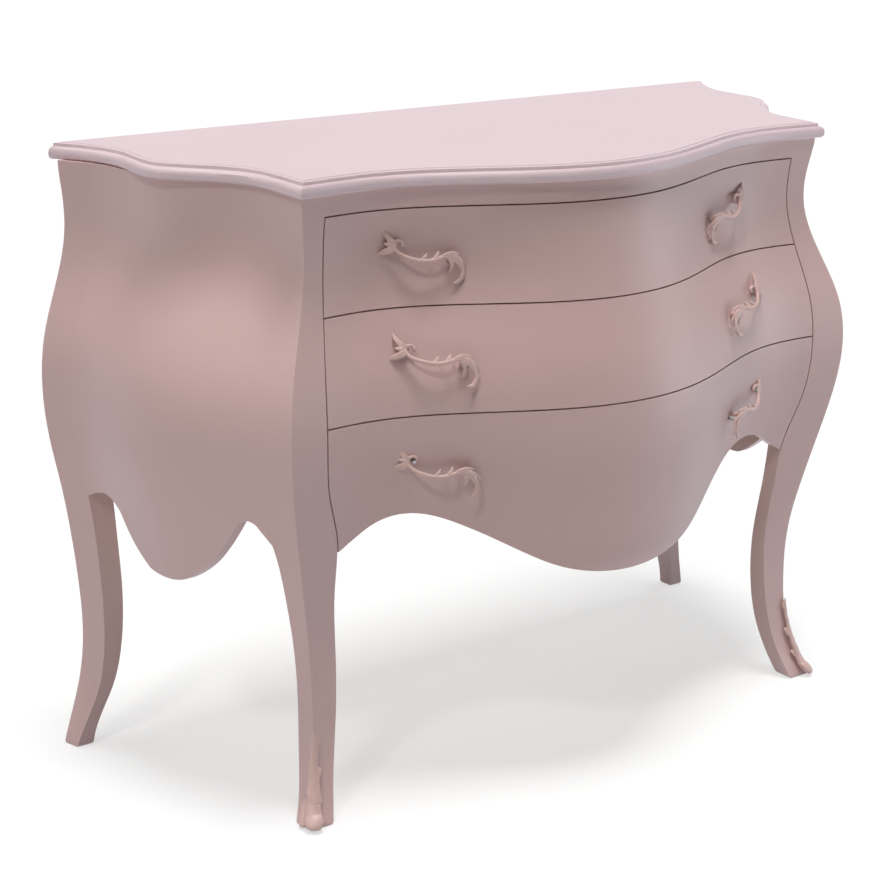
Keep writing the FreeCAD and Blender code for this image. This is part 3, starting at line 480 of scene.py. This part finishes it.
def hangPulls(casting):
    for drawer, (out, height) in pullPlaces["eyes"].items():
        eye = onFront(drawer, out, height)
        outward = (eye - onFront(drawer, out - pullPlaces["reach"], height)).normalized()
        upward = (eye - onFront(drawer, out, height - pullPlaces["drop"])).normalized()
        off = outward.cross(upward).normalized()
        upward = off.cross(outward)
        place = Matrix.Translation(eye) @ Matrix((outward, upward, off)).transposed().to_4x4()
        for side in ("right", "left"):
            name = "%s_handle_%s" % (drawer, side)
            copy = bpy.data.objects.new("shown_" + name, casting.data.copy())
            bpy.context.scene.collection.objects.link(copy)
            copy.data.transform(place)
            if side == "left":
                copy.data.transform(Matrix.Diagonal((-1, 1, 1, 1)))
                copy.data.flip_normals()
            coat(copy, finishes["painted_casting"])
            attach(copy, drawer)
            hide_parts(name)


pullCasting = makePull()
bpy.context.view_layer.update()
hangPulls(pullCasting)
bpy.data.objects.remove(pullCasting)
print("pulls hung")


# One sabot unrolled flat, in millimetres: height above the floor, across the leg's corner
# (plus on its front face, minus on its side face), off the wood.
sabot = {
    "stem": {"path": [(121, 0.5, 4.6), (112, 0.8, 4), (96, 0.4, 3.6), (72, 0, 4.4), (50, 0, 5.2),
                      (30, 0.5, 6)],
             "girth": [(0, 0.9, 1), (0.06, 2.2, 2), (0.14, 3.3, 2.8), (0.26, 3.3, 3.4), (0.4, 3, 4),
                       (0.6, 3.6, 4.8), (0.8, 5, 5.6), (1, 7, 6)],
             "groove": 0.15},
    "tipLeaf": {"path": [(100, 0, 3), (107, 2.6, 3.4), (115, 3.2, 2.6)],
                "girth": [(0, 2.4, 2), (0.4, 3.4, 2.6), (0.8, 2.2, 1.8), (1, 0.8, 0.9)], "groove": 0.3},
    "frontUpperLobe": {"path": [(60, 0, 3.5), (67, 3.6, 4), (75, 6.4, 2.4)],
                       "girth": [(0, 3, 3), (0.45, 5, 4), (0.8, 4.4, 2.8), (1, 2.2, 1.4)], "groove": 0.1},
    "frontLowerLobe": {"path": [(26, 0, 4), (33, 4, 4.6), (41, 7, 2.6)],
                       "girth": [(0, 4, 3), (0.45, 5.6, 4.4), (0.8, 4.8, 3), (1, 2.4, 1.5)], "groove": 0.1},
    "sideUpperLobe": {"path": [(66, 0, 3.5), (74, -3.8, 3.6), (84, -6.6, 2.2)],
                      "girth": [(0, 3, 3), (0.45, 4.6, 3.6), (0.8, 3.6, 2.4), (1, 1.4, 1.2)], "groove": 0.2},
    "sideLowerLobe": {"path": [(32, 0, 4), (43, -4.8, 4.4), (55, -8.2, 2.4)],
                      "girth": [(0, 4, 3), (0.45, 5.8, 4.2), (0.8, 4.2, 2.6), (1, 1.6, 1.4)], "groove": 0.2},
    "heel": {"path": [(40, 0, 4), (28, 0, 5), (16, 0, 5.6), (6, 0, 4.6)],
             "girth": [(0, 6, 4.4), (0.4, 9, 5.6), (0.75, 10.5, 6), (1, 9, 5)], "groove": 0},
    "sideToe": {"path": [(40, -4, 3), (29, -8.5, 4.4), (17, -11, 5.6), (8, -11, 5.6), (3.5, -10, 4.6)],
                "girth": [(0, 3, 2.6), (0.35, 6.6, 4.6), (0.65, 8.2, 6), (0.88, 7.6, 5.8), (1, 5, 4.2)],
                "groove": 0},
    "ball": {"path": [(22, 2, 8), (17, 2.6, 9.8), (10.5, 2.6, 10), (5.6, 2.4, 8)],
             "girth": [(0, 4, 3.8), (0.35, 6.2, 6), (0.7, 6, 6), (1, 4.2, 4.2)], "groove": 0},
}
sabotGrain = 0.0007

# Where the sabot meets its leg, in metres
sabotSeat = {
    "cornerRound": 0.004,
    "floorGap": 0.001,
    "lowest": 0.002, "apart": 0.006, "levels": 22,
    "raysEachWay": 120,
}


def makeSabot():
    limbs = [growLimb(part["path"], part["girth"], part["groove"]) for part in sabot.values()]
    return castTogether(limbs, "sabot", sabotGrain, 1)


def cornerOfLeg(leg, side, height):
    # the leg's front corner at one height: the first point met by rays that look at it cornerwise
    look = Vector((-side, 1, 0)).normalized()
    across = Vector((1, side, 0)).normalized()
    low, high = [Vector(corner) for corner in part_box("leg_front_right")]
    middle = Vector(((low.x + high.x) / 2 * side, (low.y + high.y) / 2, height))
    reach = (high - low).length
    hits = []
    for step in range(-sabotSeat["raysEachWay"], sabotSeat["raysEachWay"] + 1):
        start = middle + across * step * millimetre - look * reach
        found, place = leg.ray_cast(start, look)[:2]
        if found:
            hits.append((place.dot(look), place))
    return min(hits, key=lambda hit: hit[0])[1]


def foldRoundCorner(piece, leg, side):
    # lays the flat casting round the leg's corner: its height stays, the rest turns with the corner
    lowest, apart, levels = sabotSeat["lowest"], sabotSeat["apart"], sabotSeat["levels"]
    corners = [cornerOfLeg(leg, side, lowest + apart * level) for level in range(levels)]
    last = levels - 1.001  # just short of the uppermost corner
    out = Vector((side, -1, 0)).normalized()
    toFront = Vector((-side, -1, 0)).normalized()
    bend = sabotSeat["cornerRound"] * math.pi / 4
    for vertex in piece.data.vertices:
        height, across, off = vertex.co
        place = min(max((height - lowest) / apart, 0), last)
        first = int(place)
        corner = corners[first].lerp(corners[first + 1], place - first)
        turn = math.pi / 4 * max(-1, min(1, across / bend))
        normal = out * math.cos(turn) + toFront * math.sin(turn)
        along = toFront * math.cos(turn) - out * math.sin(turn)
        spare = across - bend * max(-1, min(1, across / bend))
        centre = corner - out * sabotSeat["cornerRound"] * math.sqrt(2)
        spot = centre + normal * (sabotSeat["cornerRound"] + off) + along * spare
        vertex.co = Vector((spot.x, spot.y, max(height, sabotSeat["floorGap"])))


def fitSabots(casting):
    for side, word in ((1, "right"), (-1, "left")):
        leg = bpy.data.objects["shown_leg_front_" + word]
        name = "sabot_" + word
        copy = bpy.data.objects.new("shown_" + name, casting.data.copy())
        bpy.context.scene.collection.objects.link(copy)
        if side == -1:
            copy.data.flip_normals()
        foldRoundCorner(copy, leg, side)
        coat(copy, finishes["painted_casting"])
        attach(copy, "carcase")
        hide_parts(name)


sabotCasting = makeSabot()
fitSabots(sabotCasting)
bpy.data.objects.remove(sabotCasting)
print("sabots fitted")


camera = {
    "place": (-2.1498, -2.4431, 1.4167),
    "yaw": math.radians(39.4398),
    "pitch": math.radians(17.2109),
    "roll": math.radians(2.1125),
    "sensor": 36, "focalPixels": 2384.79, "widthPixels": 880,
}


def setCamera():
    yaw, pitch, roll = camera["yaw"], camera["pitch"], camera["roll"]
    forward = Vector((math.sin(yaw) * math.cos(pitch), math.cos(yaw) * math.cos(pitch),
                      -math.sin(pitch)))
    level = Vector((math.cos(yaw), -math.sin(yaw), 0))
    upright = level.cross(forward)
    right = level * math.cos(roll) + upright * math.sin(roll)
    up = upright * math.cos(roll) - level * math.sin(roll)
    eye = bpy.data.objects.new("camera", bpy.data.cameras.new("camera"))
    bpy.context.scene.collection.objects.link(eye)
    eye.data.sensor_width = camera["sensor"]
    eye.data.lens = camera["sensor"] * camera["focalPixels"] / camera["widthPixels"]
    turned = Matrix((right, up, -forward)).transposed().to_4x4()
    eye.matrix_world = Matrix.Translation(camera["place"]) @ turned
    bpy.context.scene.camera = eye


setCamera()

# far lamps: degrees round from the front (left is minus), degrees up, softness and power
studio = {
    "overhead": {"round": 0, "up": 86, "softness": 20, "power": 2.8, "tint": (1.0, 1.0, 1.0)},
    "key": {"round": -62, "up": 48, "softness": 7, "power": 0.72, "tint": (1.0, 0.99, 0.97)},
    "left": {"round": -112, "up": 14, "softness": 40, "power": 0.2, "tint": (1.0, 1.0, 1.0)},
    "low": {"round": -84, "up": 4, "softness": 24, "power": 0.16, "tint": (1.0, 1.0, 1.0)},
    "behind": {"round": -150, "up": 50, "softness": 40, "power": 0.52, "tint": (1.0, 1.0, 1.0)},
    "sheen": {"round": 130, "up": 16, "softness": 50, "power": 0.32, "tint": (0.9, 0.96, 1.0)},
}
# a broad window near the chest's right end
window = {
    "place": (2.0, -1.2, 0.6), "aim": (0.5, -0.1, 0.4), "size": 1.0,
    "power": 9.5, "tint": (0.84, 0.92, 1.0),
}


def setLamp(name, kind, lamp, source):
    # source points from what is lit towards the lamp, which shines along its own -Z
    data = bpy.data.lights.new(name, kind)
    data.energy = lamp["power"]
    data.color = lamp["tint"]
    body = bpy.data.objects.new(name, data)
    bpy.context.scene.collection.objects.link(body)
    body.matrix_world = source.to_track_quat("Z", "Y").to_matrix().to_4x4()
    return body


for name, lamp in studio.items():
    turn, rise = math.radians(lamp["round"]), math.radians(lamp["up"])
    source = Vector((math.sin(turn) * math.cos(rise), -math.cos(turn) * math.cos(rise), math.sin(rise)))
    setLamp(name, "SUN", lamp, source).data.angle = math.radians(lamp["softness"])
pane = setLamp("window", "AREA", window, Vector(window["place"]) - Vector(window["aim"]))
pane.data.size = window["size"]
pane.location = window["place"]
pane.visible_camera = False

room = {
    "tint": (0.96, 0.97, 1.0, 1),
    "ambient": 0.01,
    "mirroredShare": 0.2,  # mirrored, the room is dimmer than the camera sees it
}
bpy.context.scene.view_settings.view_transform = "Standard"
world = bpy.data.worlds.new("studio")
bpy.context.scene.world = world
world.use_nodes = True
backdrop = world.node_tree
backdrop.nodes.clear()
rays = backdrop.nodes.new("ShaderNodeLightPath")
soft = backdrop.nodes.new("ShaderNodeBackground")
soft.inputs["Color"].default_value = room["tint"]
soft.inputs["Strength"].default_value = room["ambient"]
white = backdrop.nodes.new("ShaderNodeBackground")
white.inputs["Color"].default_value = (1, 1, 1, 1)
white.inputs["Strength"].default_value = 1
choice = backdrop.nodes.new("ShaderNodeMixShader")
end = backdrop.nodes.new("ShaderNodeOutputWorld")
seenOrMirrored = backdrop.nodes.new("ShaderNodeMath")
seenOrMirrored.operation = "MULTIPLY_ADD"
seenOrMirrored.inputs[1].default_value = room["mirroredShare"]
backdrop.links.new(rays.outputs["Is Glossy Ray"], seenOrMirrored.inputs[0])
backdrop.links.new(rays.outputs["Is Camera Ray"], seenOrMirrored.inputs[2])
backdrop.links.new(seenOrMirrored.outputs[0], choice.inputs[0])
backdrop.links.new(soft.outputs[0], choice.inputs[1])
backdrop.links.new(white.outputs[0], choice.inputs[2])
backdrop.links.new(choice.outputs[0], end.inputs["Surface"])

# The camera and mirroring paint see a darker floor that glows, so that it looks white
# and still takes the shadow; the other rays see plain grey.
ground = {
    "size": 60,
    "lit": (0.58, 0.58, 0.58, 1),
    "darker": (0.33, 0.33, 0.33, 1), "lighter": (0.35, 0.35, 0.35, 1), "speckScale": 3.0,
    "dark": (0, 0, 0, 1),
    "glow": (0.6, 0.6, 0.6, 1), "mirroredGlow": (0.75, 0.83, 1.0, 1),
    "roughness": 0.9,
}

deselectAll()
bpy.ops.mesh.primitive_plane_add(size=ground["size"], location=(0, 0, 0))
floor = bpy.context.object
floor.name = "floor"
floorFinish = Finish("paleFloor")
cameraSees = floorFinish.make("LightPath", out=0)
mirrored = floorFinish.make("LightPath", out=3)
speck = floorFinish.make("TexNoise", None, {"Vector": floorFinish.make("TexCoord", out=3),
                                            "Scale": ground["speckScale"]})
specked = floorFinish.mix(speck, ground["darker"], ground["lighter"])
floorTone = floorFinish.mix(cameraSees + mirrored, ground["lit"], specked)
plainGlow = floorFinish.mix(cameraSees, ground["dark"], ground["glow"])
floorGlow = floorFinish.mix(mirrored, plainGlow, ground["mirroredGlow"])
coat(floor, floorFinish.finish({"Base Color": floorTone, "Roughness": ground["roughness"],
                                "Emission Color": floorGlow, "Emission Strength": 1.0}))
print("studio set")
